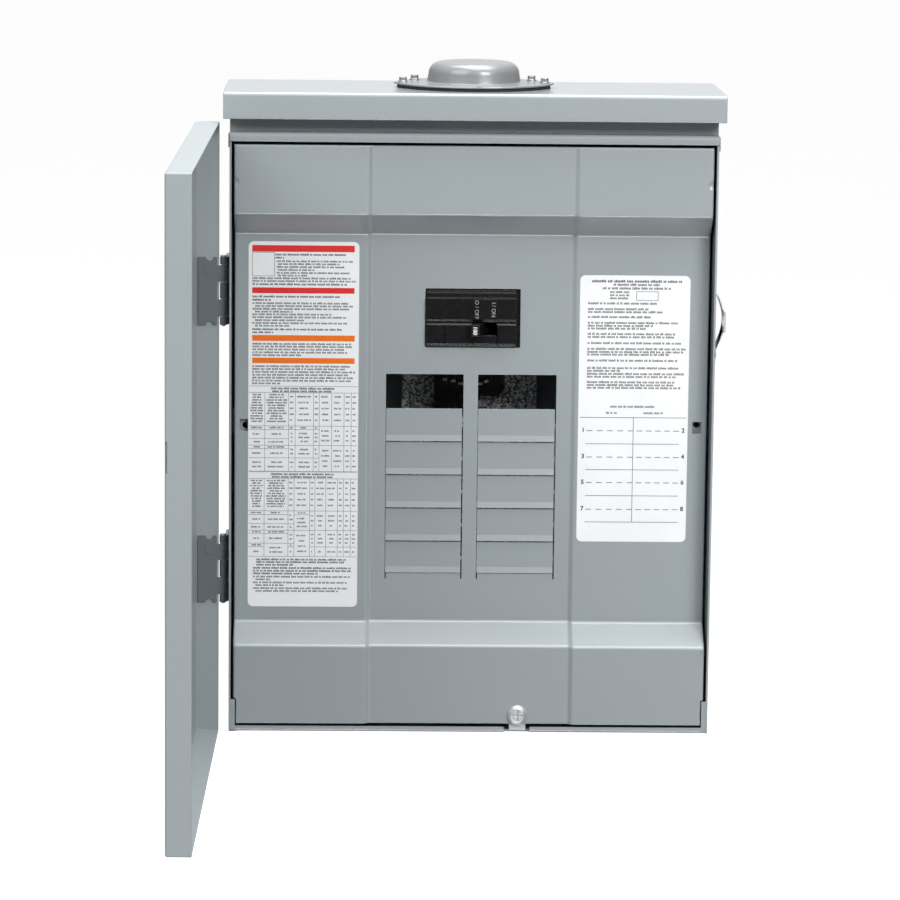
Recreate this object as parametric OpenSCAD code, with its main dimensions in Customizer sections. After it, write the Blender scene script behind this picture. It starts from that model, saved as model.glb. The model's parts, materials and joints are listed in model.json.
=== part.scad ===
// Outdoor load center: a rainproof steel box with a hinged door, a screwed-on inner cover,
// a two-pole main breaker and a bus assembly for plug-on breakers.
// Origin: centre of the wall face. X to the right, Y into the wall, Z up. Millimetres.

/* [Box] */
// Width across the side walls
box_w = 362; // [356:1:362]
// Depth from the wall face to the front edge of the side walls
box_d = 104.5; // [104:0.5:104.5]
// Height of the roof above the origin
roof_z = 242; // [240:1:244]
// Height of the box floor, below the origin
floor_z = -241.6; // [-242:0.1:-240]
// Thickness of the box steel
sheet = 1.5; // [1.2:0.1:1.6]

/* [Roof] */
// Width of the roof cap
roof_w = 371; // [371:1:376]
// Depth of the roof cap
roof_d = 114.2; // [114:0.1:118]
// Height of the roof's front lip
roof_lip = 20; // [12:1:20]

/* [Inner cover] */
// Width of the inner cover
cover_w = 355; // [350:1:355]
// Height of the top edge
cover_top = 202.4; // [200:0.2:203]
// Height of the bottom edge
cover_bottom = -235.2; // [-236:0.2:-234]
// Depth from the raised ends to the sunk middle
cover_sink = 20; // [18:1:20]
// Depth of the shallow channel down the middle
channel_sink = 2.6; // [2:0.1:3]
// Thickness of the cover steel
cover_sheet = 1.2; // [1:0.1:1.2]

/* [Breaker places] */
// Distance from one breaker place to the next
pitch = 25.4; // [25.4:0.1:25.4]
// Number of places in each column, the top one open
rows = 6; // [2:1:6]

/* [Door] */
// Width of the door
door_w = 370.3; // [370.3:0.1:371]
// Depth of the door's turned-back edges
door_flange = 18; // [16:0.5:18]
// Angle at which the door is drawn, from closed
door_open = 91; // [0:1:170]

/* [Main breaker] */
// Turn of the handle between off and on
handle_throw = 28; // [10:1:28]
// Turn of the contact arms between open and closed
arm_throw = 19.6; // [10:0.2:19.6]

/* [Hidden] */
$fn = 48;

enamel = [0.64, 0.68, 0.69];
zinc = [0.78, 0.79, 0.78];
black = [0.09, 0.09, 0.1];
tin = [0.82, 0.83, 0.84];
copper = [0.72, 0.45, 0.3];
side_x = box_w / 2;
inner_x = side_x - sheet;
// Front faces of the inner cover: the sunk middle, and the raised ends
sunk_y = -81.7;
raised_y = sunk_y - cover_sink;
// Heights where the cover's two slopes start and end
slope_top = [151, 134.4];
slope_bottom = [-159.8, -175.9];
// The channel's edges: where the cover starts to step back, and where it is flat again
channel_x = [79, 74.4];
// Columns of breaker places, and the top of the first row
columns = [[-63.9, -5.8], [5.2, 64]];
first_row_z = 28.6;
plate_gap = 0.8;
// Opening for the main breaker: left, bottom, right, top
breaker_gap = [-34.9, 49.1, 36.2, 93.5];
screw_x = 37;
screw_z = -228.2;
window_x = 170;
window_z = -10.4;
// Punched holes of the support brackets, seen through the two small windows
bracket_holes = [[-169.2, -11.2], [170.1, -8.6]];
// Rail and roof
rail_z = [204.7, 211.5];
rail_y = -104.8;
band_y = -94;
hub_y = -57;
hub_r = 31.5;
hub_screw_places = [[-53, hub_y], [53, hub_y], [-44, -36], [44, -36]];
gasket_h = 2.4;
plate_edge = 1.5;
// Door and hinges
hinge = [-185.5, -93];
hinge_h = 51;
hinge_z = [92.1, -118.6];
rivet_dz = 15.3;
pin_r = 1.5;
running = 0.05;
knuckle_r = 2.75;
leaf = 1.2;
door_sheet = 1.2;
door_z = [-243.4, 218.4];
door_y = -114.2;
door_x = door_w / 2;
pull_slot_z = [18, 40];
// Mounting holes in the back
mount_dx = 254;
mount_dz = 368;
mount_r = 3.4;
// Interior
pan_y = -13.5;
pan_half = 47.4;
bus_y = -18;
bus_t = 3;
bus_bottom = -128;
bus_front = bus_y - bus_t;
bus_cover_t = 6;
bar_left_x = [-13, -6];
bar_right_x = [-3, 3];
// Prongs in the top place: X, height, and the side they belong to
prongs = [[-19, 17.4], [-12.2, 16.2], [-6.6, 14], [8.1, 14], [12.6, 16]];
neutral_x = -88;
ground_x = 100;
wire_pitch = 9.5;
// Main breaker
breaker_x = [-50, 50];
breaker_z = [45.8, 97.2];
breaker_back = -27.5;
breaker_split = -60;
breaker_front = -80;
breaker_wall = 2.5;
poles = [58.2, 84.8];
handle_at = [9.3, -66];
handle_z = [59.3, 68.2];
slot_x = [0.4, 18.2];
arm_at = [14, -46];
arm_reach = 32;

// A block between two opposite corners
module block(a, b) translate(a) cube(b - a);

// A flat shape, drawn as (Y, Z), carried along X
module along_x(x0, x1) translate([x0, 0, 0]) rotate([90, 0, 90]) linear_extrude(x1 - x0) children();

// A flat shape, drawn as (X, Y), carried up Z
module along_z(z0, z1) translate([0, 0, z0]) linear_extrude(z1 - z0) children();

// A round bar from the point p towards -Y
module peg(p, r, h) translate(p) rotate([90, 0, 0]) cylinder(r = r, h = h);

// The same thing on the left and on the right
module both_sides() {
    children();
    mirror([1, 0, 0]) children();
}

// Points along an arc
function arc(c, r, a0, a1, n) = [for (i = [0:n]) c + r * [cos(a0 + (a1 - a0) * i / n), sin(a0 + (a1 - a0) * i / n)]];

// A pan head with a cross recess, its underside on the XY plane
module cross_head(r, h) {
    difference() {
        union() {
            cylinder(r = r, h = h * 0.45);
            translate([0, 0, h * 0.45]) cylinder(r1 = r, r2 = r * 0.72, h = h * 0.55);
        }
        for (a = [0, 90])
            rotate(a) translate([-r * 0.6, -r * 0.11, h * 0.5]) cube([r * 1.2, r * 0.22, h]);
    }
}

// ---------- box ----------

module back_shell() {
    color(enamel) difference() {
        union() {
            block([-side_x, -sheet, floor_z], [side_x, 0, roof_z - sheet]);
            both_sides() {
                block([inner_x, -box_d, floor_z], [side_x, -sheet, rail_z[0] - 0.5]);
                block([inner_x, band_y, rail_z[0] - 0.5], [side_x, -sheet, roof_z - sheet]);
            }
        }
        for (x = [-1, 1], z = [-1, 1])
            peg([x * mount_dx / 2, 1, z * mount_dz / 2], mount_r, 4);
        // pressed rings of the knockouts, two in each side wall
        for (s = [-1, 1], z = [-200, -160])
            translate([s * side_x, -52, z]) rotate([0, s * 90, 0]) knockout_ring(11.1, -0.5);
    }
}

// A shallow ring that marks a knockout, sunk from the XY plane by the given depth
module knockout_ring(r, depth) {
    translate([0, 0, depth]) difference() {
        cylinder(r = r + 0.4, h = 2);
        translate([0, 0, -1]) cylinder(r = r - 0.4, h = 4);
    }
}

module top_wall() {
    color(enamel) difference() {
        union() {
            block([-inner_x, band_y, roof_z - 2 * sheet], [inner_x, -sheet, roof_z - sheet]);
            block([-side_x, band_y - sheet, rail_z[1]], [side_x, band_y, roof_z - sheet]);
        }
        translate([0, hub_y, roof_z - 5]) cylinder(r = hub_r, h = 5);
        for (p = hub_screw_places)
            translate([p[0], p[1], roof_z - 5]) cylinder(r = 2, h = 5);
    }
}

module rain_rail() {
    nose = 3;
    outer = concat([[band_y, rail_z[1]]],
                   arc([rail_y + nose, rail_z[1] - nose], nose, 90, 180, 6),
                   [[rail_y, rail_z[0]], [rail_y + sheet, rail_z[0]]],
                   arc([rail_y + nose, rail_z[1] - nose], nose - sheet, 180, 90, 4),
                   [[band_y, rail_z[1] - sheet]]);
    color(enamel) {
        along_x(-side_x, side_x) polygon(outer);
        both_sides() block([side_x, rail_y + 1, rail_z[0] - 4.5], [side_x + 1, band_y, rail_z[1] - 1]);
    }
}

module roof_cap() {
    bend = 3;
    c = [-roof_d + bend, roof_z - bend];
    section = concat([[0, roof_z]], arc(c, bend, 90, 180, 6),
                     [[-roof_d, roof_z - roof_lip], [-roof_d + sheet, roof_z - roof_lip]],
                     arc(c, bend - sheet, 180, 90, 4), [[0, roof_z - sheet]]);
    color(enamel) difference() {
        union() {
            along_x(-roof_w / 2, roof_w / 2) polygon(section);
            both_sides() block([roof_w / 2 - sheet, -roof_d + sheet / 2, roof_z - roof_lip],
                               [roof_w / 2, 0, roof_z - sheet]);
        }
        translate([0, hub_y, roof_z - 5]) cylinder(r = hub_r, h = 10);
        for (p = hub_screw_places)
            translate([p[0], p[1], roof_z - 5]) cylinder(r = 2, h = 10);
        // clipped rear corners
        for (s = [-1, 1])
            translate([s * roof_w / 2, 0, roof_z - roof_lip - 1]) rotate(45) cube([5, 5, 60], center = true);
    }
}

module bottom_wall() {
    nose = 2.5;
    y0 = -box_d + 0.3;
    lip_z = cover_bottom - 2;
    section = concat([[-sheet, floor_z]], arc([y0 + nose, floor_z + nose], nose, 270, 180, 6),
                     [[y0, lip_z], [y0 + sheet, lip_z]],
                     arc([y0 + nose, floor_z + nose], nose - sheet, 180, 270, 4),
                     [[-sheet, floor_z + sheet]]);
    color(enamel) difference() {
        union() {
            along_x(-inner_x, inner_x) polygon(section);
            // tabs that fill the inner cover's notched corners
            both_sides() block([inner_x - 3.3, y0, floor_z + sheet], [inner_x, y0 + sheet, -217]);
        }
        // notch for the cover screw's bracket
        block([27, y0 - 1, floor_z - 1], [46.5, y0 + 4, lip_z + 1]);
        // pressed rings of the knockouts
        for (p = [[-110, 17.4], [-40, 11.1], [40, 11.1], [110, 17.4]])
            translate([p[0], -52, floor_z]) mirror([0, 0, 1]) knockout_ring(p[1], -0.5);
    }
}

// ---------- hub closing plate ----------

module hub_gasket() {
    color([0.2, 0.2, 0.2]) translate([0, 0, roof_z]) difference() {
        linear_extrude(gasket_h) plate_outline(-2.5);
        translate([0, hub_y, -1]) cylinder(r = 33, h = 9);
        for (p = hub_screw_places)
            translate([p[0], p[1], -1]) cylinder(r = 2, h = 9);
    }
}

// Outline of the closing plate: a shallow arc in front and a rounder one behind
module plate_outline(grow = 0) intersection() {
    translate([0, -36.6]) circle(r = 63.4 + grow, $fn = 96);
    translate([0, -69.2]) circle(r = 61.2 + grow, $fn = 96);
}

module hub_plate() {
    base = roof_z + gasket_h;
    dome_r = 35;
    top_z = 17.1;
    shoulder = 9;
    skin = 1.8;
    dome = concat([[0, plate_edge], [0, top_z]], arc([dome_r - 1 - shoulder, top_z - shoulder], shoulder, 90, 0, 8),
                  [[dome_r, plate_edge + 1], [dome_r + 8, plate_edge]]);
    hollow = concat([[0, -1], [0, top_z - skin]],
                    arc([dome_r - 1 - shoulder, top_z - shoulder], shoulder - skin, 90, 0, 6),
                    [[dome_r - 3, plate_edge], [dome_r - 3, -1]]);
    color([0.62, 0.63, 0.64]) difference() {
        union() {
            translate([0, 0, base]) linear_extrude(plate_edge) plate_outline();
            translate([0, hub_y, base]) rotate_extrude($fn = 96) polygon(dome);
        }
        translate([0, hub_y, base]) rotate_extrude($fn = 96) polygon(hollow);
        for (p = hub_screw_places)
            translate([p[0], p[1], base - 1]) cylinder(r = 2.2, h = 9);
    }
}

// Screws with a hexagonal head on a round washer
module hub_screws() {
    grip = gasket_h + plate_edge;
    color(zinc) for (p = hub_screw_places) translate([p[0], p[1], roof_z]) {
        translate([0, 0, -8]) cylinder(r = 1.9, h = 8 + grip);
        translate([0, 0, grip]) cylinder(r = 3.7, h = 0.8);
        translate([0, 0, grip]) cylinder(r = 3, h = 3.6, $fn = 6);
    }
}

// ---------- inner cover ----------

// Cross-section of the cover, with its front face in the channel at the given Y
module cover_section(y) {
    a = channel_x[0];
    b = channel_x[1];
    w = cover_w / 2;
    s = channel_sink;
    t = cover_sheet;
    fold = 6;
    polygon([[-w, y - s], [-a, y - s], [-b, y], [b, y], [a, y - s], [w, y - s],
             [w, y + fold], [w - t, y + fold], [w - t, y - s + t], [a, y - s + t], [b, y + t],
             [-b, y + t], [-a, y - s + t], [-w + t, y - s + t], [-w + t, y + fold], [-w, y + fold]]);
}

// One slope: from height z0 at front face y0 to height z1 at front face y1, between two X values
module slope(x0, x1, z0, z1, y0, y1) {
    t = cover_sheet;
    along_x(x0, x1) polygon([[y0, z0], [y1, z1], [y1 + t, z1], [y0 + t, z0]]);
}

// The sloped stretch of one channel edge
module slope_corner(side, z0, z1, y0, y1) {
    sliver = 0.01;
    hull() {
        slope(side * channel_x[1] - sliver, side * channel_x[1] + sliver, z0, z1, y0, y1);
        slope(side * channel_x[0] - sliver, side * channel_x[0] + sliver, z0, z1,
              y0 - channel_sink, y1 - channel_sink);
    }
}

module cover_slope(z0, z1, y0, y1) {
    slope(-channel_x[1], channel_x[1], z0, z1, y0, y1);
    for (s = [-1, 1]) {
        slope_corner(s, z0, z1, y0, y1);
        x0 = s < 0 ? -cover_w / 2 : channel_x[0];
        slope(x0, x0 + cover_w / 2 - channel_x[0], z0, z1, y0 - channel_sink, y1 - channel_sink);
    }
}

function row_top(k) = first_row_z - pitch * k;

module inner_cover() {
    color(enamel) difference() {
        union() {
            along_z(slope_top[0], cover_top) cover_section(raised_y);
            cover_slope(slope_top[0], slope_top[1], raised_y, sunk_y);
            along_z(slope_bottom[0], slope_top[1]) cover_section(sunk_y);
            cover_slope(slope_bottom[1], slope_bottom[0], raised_y, sunk_y);
            along_z(cover_bottom, slope_bottom[1]) cover_section(raised_y);
        }
        block([breaker_gap[0], -110, breaker_gap[1]], [breaker_gap[2], -70, breaker_gap[3]]);
        for (c = columns) {
            block([c[0], -110, row_top(rows) + 0.4], [c[1], -70, row_top(0)]);
            // slits that run on below the lowest place
            for (x = [c[0], c[1] - plate_gap])
                block([x, -110, row_top(rows) - 4], [x + plate_gap, -70, row_top(rows) + 1]);
        }
        for (s = [-1, 1]) {
            block([s * window_x - 3.25, -110, window_z - 4.6], [s * window_x + 3.25, -60, window_z + 4.6]);
            // notched bottom corners
            x = s * (cover_w / 2 - cover_sheet / 2);
            block([x - 1.4, -110, cover_bottom - 1], [x + 1.4, -80, -216]);
        }
        peg([screw_x, -90, screw_z], 3, 20);
    }
}

// One closed breaker place: a slightly sunk plate whose lower band is bent forward
module twistout(c, k) {
    top = row_top(k) - plate_gap;
    low = row_top(k + 1) + (k == rows - 1 ? plate_gap : 0);
    band = 4.5;
    lift = 0.5;
    y = sunk_y + 0.9;
    t = cover_sheet;
    along_x(c[0] + 0.3, c[1] - plate_gap)
        polygon([[y, top], [y, low + band], [sunk_y - lift, low], [sunk_y - lift + t, low],
                 [y + t, low + band], [y + t, top]]);
    // the bridges that hold the plate until it is twisted out
    block([c[0], y, top - 14], [c[0] + 1, sunk_y + t, top - 11]);
    block([c[1] - plate_gap - 0.2, y, top - 14], [c[1], sunk_y + t, top - 11]);
}

module twistout_plates() {
    color(enamel) for (c = columns, k = [1:rows - 1]) twistout(c, k);
}

// Bent strips on the side walls that hold the middle of the inner cover up
module cover_brackets() {
    t = 1.2;
    y = sunk_y - channel_sink + cover_sheet + 3;
    path = [[163.5, y - 3], [165.5, y - 3], [165.5, y], [175.2, y], [175.2, y + 14], [inner_x, y + 14],
            [inner_x, y + 26], [inner_x - t, y + 26], [inner_x - t, y + 14 + t], [175.2 - t, y + 14 + t],
            [175.2 - t, y + t], [163.5, y + t]];
    color(enamel) difference() {
        both_sides() along_z(window_z - 9, window_z + 9) polygon(path);
        for (h = bracket_holes) peg([h[0], y + 3, h[1]], 2.4, 5);
    }
}

module cover_screw_bracket() {
    y = raised_y + cover_sheet;
    color(zinc) difference() {
        union() {
            block([31, y, floor_z + sheet], [43.5, y + 1.5, screw_z + 8]);
            block([31, y + 1.5, floor_z + sheet], [43.5, y + 12, floor_z + 2 * sheet]);
        }
        peg([screw_x, -90, screw_z], 2.45, 20);
    }
}

module cover_screw() {
    color(zinc) {
        translate([screw_x, raised_y, screw_z]) rotate([90, 0, 0]) cross_head(7.3, 3.4);
        peg([screw_x, raised_y + 9, screw_z], 2.4, 9.5);
    }
}

// A thin sheet with round corners, standing just in front of the cover
module sticker(x0, x1, z0, z1) {
    r = 4;
    y = sunk_y - channel_sink;
    difference() {
        block([x0, y - 0.25, z0], [x1, y, z1]);
        for (c = [[x0, z0, 0], [x1, z0, 90], [x1, z1, 180], [x0, z1, 270]])
            translate([c[0], y + 1, c[1]]) rotate([90, 0, 0]) rotate(c[2]) difference() {
                translate([-1, -1, 0]) cube([r + 1, r + 1, 3]);
                translate([r, r, -1]) cylinder(r = r, h = 5);
            }
    }
}

module info_label() color("white") sticker(-167.2, -84.6, -149.3, 128.3);
module directory_label() color("white") sticker(80.6, 163.2, -97.8, 104.8);

// ---------- door, hinges and latch ----------

// Turn what is drawn in the closed place to the drawn door angle
module at_door() translate([hinge[0], hinge[1], 0]) rotate(-door_open) translate([-hinge[0], -hinge[1], 0]) children();

module door_panel() {
    t = door_sheet;
    back = door_y + door_flange;
    color(enamel) at_door() difference() {
        block([-door_x, door_y, door_z[0]], [door_x, back, door_z[1]]);
        block([-door_x + t, door_y + t, door_z[0] + t], [door_x - t, back + 1, door_z[1] - t]);
        // finger slot along the corner away from the hinges
        block([door_x - 2 * t, door_y - 1, pull_slot_z[0]], [door_x + 1, door_y + 1.6, pull_slot_z[1]]);
    }
}

// Heights of the five knuckles, from the top: the box has the outer and middle ones
box_knuckles = [[0, 5.6], [19.2, 31.2], [45.4, 51]];
door_knuckles = [[6.2, 18.6], [31.8, 44.8]];

module knuckle(z0, z1) along_z(z0, z1) translate(hinge) difference() {
    circle(r = knuckle_r);
    circle(r = pin_r + running);
}

// The box half of a hinge: a strap on the side wall with three knuckles
module box_hinge(z) {
    top = z + hinge_h / 2;
    wall = -side_x;
    y0 = hinge[1];
    root = 2.9;
    strap = [[wall, y0 + 4], [wall, y0 + 24], [wall - root, y0 + 24], [wall - root, y0 + 4],
             [hinge[0] + pin_r + 0.6, y0 + 0.6], [hinge[0] + knuckle_r - 0.3, y0 - 0.6]];
    color(enamel) {
        for (k = box_knuckles) {
            knuckle(top - k[1], top - k[0]);
            along_z(top - k[1], top - k[0]) polygon(strap);
        }
        block([wall - root, y0 + 4, z - hinge_h / 2], [wall, y0 + 24, top]);
    }
}
module box_hinge_upper() box_hinge(hinge_z[0]);
module box_hinge_lower() box_hinge(hinge_z[1]);

module hinge_pin(z) color(zinc) {
    translate([hinge[0], hinge[1], z - hinge_h / 2 - 1]) cylinder(r = pin_r, h = hinge_h + 1.2);
    translate([hinge[0], hinge[1], z + hinge_h / 2 + 0.2]) cylinder(r = 2.4, h = 1.2);
}
module hinge_pin_upper() hinge_pin(hinge_z[0]);
module hinge_pin_lower() hinge_pin(hinge_z[1]);

// The door half: a plate inside the door's edge with two knuckles
module door_hinge(z) {
    top = z + hinge_h / 2;
    x0 = hinge[0] + pin_r + running;
    far = door_y + door_sheet + 1;
    near = door_y + door_flange + 0.5;
    color(enamel) at_door() difference() {
        union() {
            block([x0, far, z - hinge_h / 2], [x0 + leaf, near - 2, top]);
            for (k = door_knuckles) {
                knuckle(top - k[1], top - k[0]);
                along_z(top - k[1], top - k[0]) difference() {
                    polygon([[x0, near - 3], [x0 + leaf, near - 3], [x0 + leaf, hinge[1]], [x0, hinge[1]]]);
                    translate(hinge) circle(r = pin_r + running);
                }
            }
        }
        // round notches at the two ends, and the rivet hole
        for (e = [z - hinge_h / 2, top])
            translate([x0 - 1, near - 7.5, e]) rotate([0, 90, 0]) cylinder(r = 2.8, h = 4);
        translate([x0 - 1, near - 7.5, z + rivet_dz]) rotate([0, 90, 0]) cylinder(r = 2.05, h = 4);
    }
}
module door_hinge_upper() door_hinge(hinge_z[0]);
module door_hinge_lower() door_hinge(hinge_z[1]);

module door_hinge_rivets() {
    x0 = hinge[0] + pin_r + running;
    y = door_y + door_flange + 0.5 - 7.5;
    color(enamel) at_door() for (z = hinge_z) {
        translate([x0 + 0.01, y, z + rivet_dz]) rotate([0, 90, 0]) cylinder(r = 2, h = leaf);
        translate([x0 + leaf, y, z + rivet_dz]) rotate([0, 90, 0]) cylinder(r = 4, h = 0.4);
    }
}

// The spring latch: a strip bowed away from the side wall, with a finger over the door's edge
latch_z = [42, 91];
latch_foot = 8;
latch_bow = 6.6;
latch_t = 1.1;
latch_y = [-94.5, -78];

// Distance from the wall along the strip: flat at its foot, out, then back in at its tail
function bow(z) = let (u = (z - latch_z[0] - latch_foot) / (latch_z[1] - latch_z[0] - latch_foot))
                  u <= 0 ? 0 : latch_bow * (u < 0.55 ? sin(90 * u / 0.55) : 0.25 + 0.75 * cos(90 * (u - 0.55) / 0.45));

module door_latch() {
    n = 20;
    bend_z = latch_z[0] + latch_foot;
    zs = concat([latch_z[0]], [for (i = [0:n]) bend_z + (latch_z[1] - bend_z) * i / n]);
    strip = concat([for (z = zs) [side_x + bow(z), z]],
                   [for (i = [n + 1:-1:0]) [side_x + bow(zs[i]) + latch_t, zs[i]]]);
    finger_x = side_x + 5.3;
    color(zinc) difference() {
        union() {
            translate([0, latch_y[1], 0]) rotate([90, 0, 0]) linear_extrude(latch_y[1] - latch_y[0]) polygon(strip);
            block([finger_x, -113, 66], [finger_x + 1.4, latch_y[0] + 0.01, 82]);
        }
        translate([side_x - 1, -86, 46]) rotate([0, 90, 0]) cylinder(r = 2.05, h = 6);
        translate([side_x, -104.5, 74]) rotate([0, 90, 0]) cylinder(r = 4.2, h = 14);
    }
}

module latch_rivets() {
    color(zinc) {
        translate([side_x + 0.01, -86, 46]) rotate([0, 90, 0]) cylinder(r = 2, h = latch_t);
        translate([side_x + latch_t, -86, 46]) rotate([0, 90, 0]) cylinder(r1 = 3.4, r2 = 2.4, h = 1.1);
    }
}

// ---------- interior ----------

standoffs = [[-40, -168], [40, -168], [-40, 110], [40, 110]];

module pan_standoffs() {
    color(zinc) for (p = standoffs) difference() {
        peg([p[0], -sheet, p[1]], 6, 12 - sheet);
        peg([p[0], -sheet + 1, p[1]], 2, 14);
    }
}

module interior_pan() {
    z0 = -178;
    z1 = 120;
    rail = 26;
    color([0.66, 0.67, 0.66]) difference() {
        union() {
            block([-pan_half, pan_y, z0], [pan_half, pan_y + 1.5, z1]);
            both_sides() {
                block([pan_half - 1.5, -rail - 1.5, z0], [pan_half, pan_y, 40]);
                block([pan_half, -rail - 1.5, z0], [pan_half + 4, -rail, 40]);
            }
            // tab bent up from the pan beside the top place
            translate([16.5, 0, -2]) rotate([0, -19, 0]) block([0, pan_y - 9, 0], [13, pan_y + 0.5, 1.4]);
        }
        for (p = standoffs) peg([p[0], 1, p[1]], 2.2, 20);
    }
}

module pan_screws() {
    color(zinc) for (p = standoffs) {
        peg([p[0], -3, p[1]], 1.95, -pan_y - 3);
        translate([p[0], pan_y, p[1]]) rotate([90, 0, 0]) cross_head(4.2, 2.6);
    }
}

// Centre height of breaker place k
function row_mid(k) = row_top(k) - pitch / 2;

// Front outline of the insulators: a straight strip with a round-cornered block beside the top place
module insulator_outline() {
    low = 3.5;
    right = 27.5;
    r = 9;
    translate([-26.6, -150]) square([30.6, 186]);
    translate([0, low + r]) square([right, 36 - low - r]);
    translate([0, low]) square([right - r, r]);
    translate([right - r, low + r]) circle(r = r);
}

// The insulator outline between two Y values
module insulator(y0, y1) translate([0, y1, 0]) rotate([90, 0, 0]) linear_extrude(y1 - y0) insulator_outline();

module bus_base() color(black) {
    insulator(bus_y, pan_y);
    block([-26.6, bus_y, 36], [45.6, pan_y, 96]);
    // seats that carry the main breaker
    block([-26.6, breaker_back, 46], [-17, bus_y, 96]);
    block([43, breaker_back, 46], [45.6, bus_y, 96]);
}

module bus_cover() color(black) difference() {
    union() {
        insulator(bus_front - bus_cover_t, bus_front);
        // ribs between the lower places
        for (k = [2:rows])
            block([-26.6, bus_front - bus_cover_t - 9, row_top(k) - 1], [-18, bus_front - 1, row_top(k) + 1]);
    }
    for (p = prongs) block([p[0] - 2, -60, p[1] - 1.4], [p[0] + 2, -10, p[1] + 1.4]);
    for (k = [1:rows - 1]) block([-27, -60, fin_z(k) - 1.8], [30, -10, fin_z(k) + 1.8]);
}

// Height of the fin in place k
function fin_z(k) = row_mid(k) - 3.5;

// One bus bar: upright, with a head behind the breaker, prongs in the top place
// and a fin across every other place below
module bus_bar(x, head_z, side, first) color(tin) {
    block([x[0], bus_front, bus_bottom], [x[1], bus_y, head_z + 5]);
    block([x[0], bus_front, head_z - 5], [42, bus_y, head_z + 5]);
    block([min(x[0], side * 21.5), bus_front, 11], [max(x[1], side * 15), bus_y, 20]);
    for (p = prongs)
        if (p[0] * side > 0)
            block([p[0] - 1.7, bus_front - 12, p[1] - 0.9], [p[0] + 1.7, bus_y, p[1] + 0.9]);
    for (k = [first:2:rows - 1]) {
        block([x[0], bus_front - bus_cover_t, fin_z(k) - 1.5], [x[1], bus_y, fin_z(k) + 1.5]);
        block([-25, bus_front - 20, fin_z(k) - 1.5], [25, bus_front - bus_cover_t, fin_z(k) + 1.5]);
    }
}
module bus_bar_left() bus_bar(bar_left_x, poles[1], -1, 1);
module bus_bar_right() bus_bar(bar_right_x, poles[0], 1, 2);

// A terminal bar with cross holes for wires and a clamping screw over each
module terminal_bar(x, y, z0, n) difference() {
    block([x - 5, y - 12, z0], [x + 5, y, z0 + n * wire_pitch]);
    for (i = [0:n - 1]) {
        z = z0 + wire_pitch * (i + 0.5);
        translate([x - 6, y - 4.5, z]) rotate([0, 90, 0]) cylinder(r = 2.9, h = 12);
        peg([x, y - 5, z], 2, 9);
    }
}

module terminal_screws(x, y, z0, n) for (i = [0:n - 1]) {
    z = z0 + wire_pitch * (i + 0.5);
    peg([x, y - 7.6, z], 1.95, 4.5);
    translate([x, y - 12, z]) rotate([90, 0, 0]) cross_head(3.2, 2.4);
}

neutral_y = -22;
neutral_z0 = -130;
neutral_n = 16;
ground_y = -8;
ground_z0 = -190;
ground_n = 10;

module neutral_insulator() {
    color([0.85, 0.85, 0.82]) for (z = [neutral_z0 + 8, neutral_z0 + 130])
        difference() {
            block([neutral_x - 6, neutral_y, z], [neutral_x + 6, -sheet, z + 12]);
            peg([neutral_x, 0, z + 6], 2, 30);
        }
}
module neutral_bar() color(tin) terminal_bar(neutral_x, neutral_y, neutral_z0, neutral_n);
module neutral_screws() color(zinc) terminal_screws(neutral_x, neutral_y, neutral_z0, neutral_n);

module neutral_lug() {
    z = neutral_z0 + neutral_n * wire_pitch;
    color(tin) difference() {
        block([neutral_x - 9, neutral_y - 20, z], [neutral_x + 9, neutral_y, z + 24]);
        translate([neutral_x, neutral_y - 9, z - 1]) cylinder(r = 6, h = 30);
        peg([neutral_x, neutral_y - 12, z + 12], 4, 10);
    }
}

module ground_bar() color(tin) {
    terminal_bar(ground_x, ground_y, ground_z0, ground_n);
    for (z = [ground_z0 + 4, ground_z0 + ground_n * wire_pitch - 12])
        block([ground_x - 4, ground_y, z], [ground_x + 4, -sheet, z + 8]);
}
module ground_screws() color([0.2, 0.42, 0.26]) terminal_screws(ground_x, ground_y, ground_z0, ground_n);

// A strap from the neutral bar's foot to the back of the box
module bonding_strap() {
    z = neutral_z0 - 12;
    color(copper) difference() {
        union() {
            block([neutral_x - 4, neutral_y - 1.5, z], [neutral_x + 4, neutral_y, z + 12]);
            block([neutral_x - 4, neutral_y, z], [neutral_x + 4, -sheet, z + 1.5]);
            block([neutral_x - 4, -3, z - 14], [neutral_x + 4, -sheet, z]);
        }
        peg([neutral_x, 0, z - 8], 2, 6);
    }
}

// ---------- main breaker ----------

module breaker_base() {
    w = breaker_wall;
    color(black) difference() {
        union() {
            difference() {
                block([breaker_x[0], breaker_split, breaker_z[0]], [breaker_x[1], breaker_back, breaker_z[1]]);
                block([breaker_x[0] + 14, breaker_split - 1, breaker_z[0] + w],
                      [breaker_x[1] - w, breaker_back - w, breaker_z[1] - w]);
            }
            // wall between the poles
            block([breaker_x[0] + 10, breaker_split, 70.3], [breaker_x[1] - w, breaker_back - w, 72.7]);
        }
        for (z = poles) {
            // pocket for the line lug, and the way in for its wire
            block([breaker_x[0] - 1, breaker_split - 1, z - 8.3], [breaker_x[0] + 11, -37, z + 8.3]);
            block([breaker_x[0] + 9, -44, z - 4.2], [breaker_x[0] + 15, -37, z + 4.2]);
            peg([36, breaker_back + 1, z], 3.2, 6);
        }
        translate([arm_at[0], arm_at[1], 60]) cylinder(r = 4.6, h = 20);
        translate([arm_at[0], arm_at[1], 40]) cylinder(r = pin_r, h = 70);
    }
}

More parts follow.
